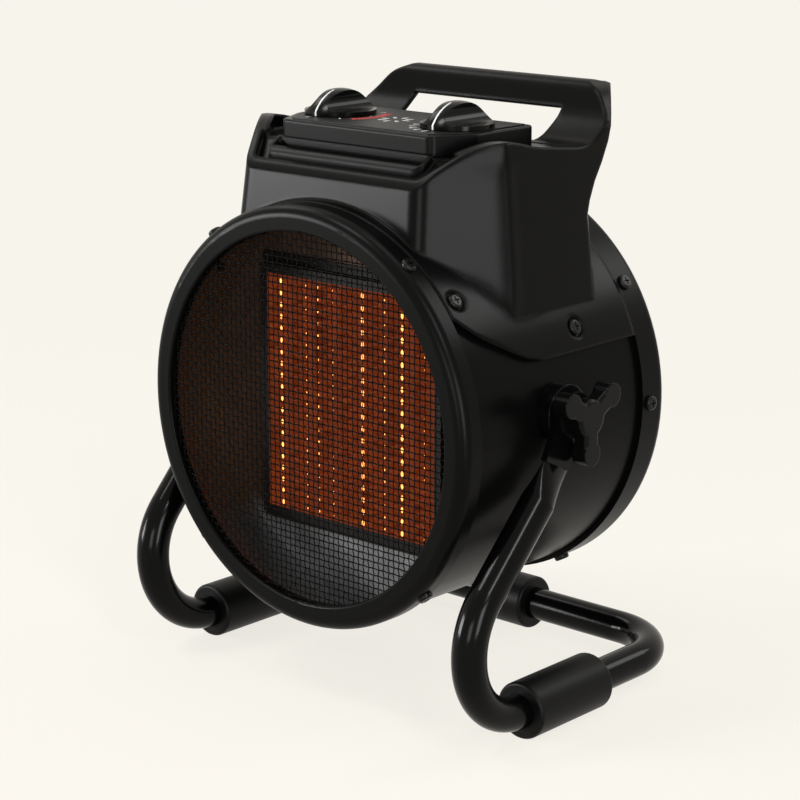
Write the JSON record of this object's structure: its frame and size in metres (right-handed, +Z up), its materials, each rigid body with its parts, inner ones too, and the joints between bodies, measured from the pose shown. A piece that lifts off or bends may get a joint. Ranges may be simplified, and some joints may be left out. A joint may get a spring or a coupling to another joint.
{
  "type": "forced air heater",
  "caption": "Round ceramic fan heater with a saddle housing, carrying handle, turning controls and a tilting bent-tube stand.",
  "frame": {"origin": "on the floor, at the middle of the outline in plan", "axes": "+Z up, +Y to the rear (the mesh faces -Y), +X to the right of someone who faces the mesh"},
  "size_m": [0.2138, 0.1618, 0.2595],
  "materials": {
    "shell_paint": "satin black powder coat on sheet steel",
    "tube_paint": "glossy black powder coat on steel tube",
    "housing_plastic": "satin black moulding with a fine grain",
    "panel_plastic": "satin black moulding",
    "overlay_film": "dark grey printed film",
    "knob_plastic": "semi-gloss black",
    "clamp_plastic": "black glass-filled nylon",
    "sleeve_rubber": "matt black",
    "screw_steel": "black oxide",
    "pivot_steel": "zinc plated",
    "mesh_steel": "black painted wire",
    "guard_steel": "black powder coat",
    "fin_aluminium": "heat-tinted foil",
    "element_ceramic": "glowing ceramic bars in aluminium cases",
    "frame_plastic": "brown-black heat resistant moulding",
    "sheet_steel": "galvanised",
    "motor_steel": "lacquered",
    "shaft_steel": "ground",
    "fan_aluminium": "plain",
    "inner_plastic": "plain moulding",
    "spindle_brass": "plain"
  },
  "bodies": {
    "stand": {"stand_tube": "tube_paint", "arm_eye_left": "tube_paint", "arm_eye_right": "tube_paint", "foot_sleeve_left": "sleeve_rubber", "foot_sleeve_right": "sleeve_rubber", "rear_sleeve": "sleeve_rubber"},
    "heater": {"baffle_plate": "sheet_steel", "cable_gland": "clamp_plastic", "control_panel": "panel_plastic", "drum_shell": "shell_paint", "fan_motor": "motor_steel", "front_hoop": "shell_paint", "front_hoop_screw_left_135": "screw_steel", "front_hoop_screw_left_37": "screw_steel", "front_hoop_screw_right_135": "screw_steel", "front_hoop_screw_right_37": "screw_steel", "front_mesh": "mesh_steel", "function_body": "inner_plastic", "gland_nut": "clamp_plastic", "mesh_ring": "mesh_steel", "motor_bracket": "sheet_steel", "panel_overlay": "overlay_film", "pivot_boss_left": "clamp_plastic", "pivot_boss_right": "clamp_plastic", "pivot_stud_left": "pivot_steel", "pivot_stud_right": "pivot_steel", "pivot_washer_left": "pivot_steel", "pivot_washer_right": "pivot_steel", "ptc_bars": "element_ceramic", "ptc_fins": "fin_aluminium", "ptc_frame": "frame_plastic", "rear_grille": "guard_steel", "rear_hoop": "shell_paint", "rear_hoop_screw_left_151": "screw_steel", "rear_hoop_screw_left_56": "screw_steel", "rear_hoop_screw_left_90": "screw_steel", "rear_hoop_screw_right_151": "screw_steel", "rear_hoop_screw_right_56": "screw_steel", "rear_hoop_screw_right_90": "screw_steel", "saddle_screw_left_50": "screw_steel", "saddle_screw_left_64": "screw_steel", "saddle_screw_right_50": "screw_steel", "saddle_screw_right_64": "screw_steel", "terminal_block": "inner_plastic", "thermal_cutout": "sheet_steel", "thermostat_body": "sheet_steel", "top_housing": "housing_plastic"},
    "rotor": {"motor_shaft": "shaft_steel", "fan_impeller": "fan_aluminium", "impeller_nut": "pivot_steel"},
    "function_control": {"function_knob": "knob_plastic", "function_spindle": "spindle_brass"},
    "thermostat_control": {"thermostat_knob": "knob_plastic", "thermostat_spindle": "spindle_brass"},
    "clamp_left": {"clamp_knob_left": "clamp_plastic"},
    "clamp_right": {"clamp_knob_right": "clamp_plastic"}
  },
  "joints": [
    {"name": "tilt", "type": "hinge", "parent": "stand", "child": "heater", "pos_m": [0, -0.01388, 0.1334], "axis": [-1, 0, 0], "range_deg": [-12, 60]},
    {"name": "fan_spin", "type": "hinge", "parent": "heater", "child": "rotor", "pos_m": [0, 0.00013, 0.1254], "axis": [0, -1, 0], "continuous": true},
    {"name": "function_turn", "type": "hinge", "parent": "heater", "child": "function_control", "pos_m": [-0.033, -0.01287, 0.2444], "axis": [0, 0, -1], "range_deg": [0, 180]},
    {"name": "thermostat_turn", "type": "hinge", "parent": "heater", "child": "thermostat_control", "pos_m": [0.033, -0.01287, 0.2444], "axis": [0, 0, -1], "range_deg": [-135, 135]},
    {"name": "clamp_left_turn", "type": "hinge", "parent": "heater", "child": "clamp_left", "pos_m": [-0.1, -0.01388, 0.1334], "axis": [-1, 0, 0], "range_deg": [0, 180]},
    {"name": "clamp_right_turn", "type": "hinge", "parent": "heater", "child": "clamp_right", "pos_m": [0.1, -0.01388, 0.1334], "axis": [1, 0, 0], "range_deg": [0, 180]}
  ]
}
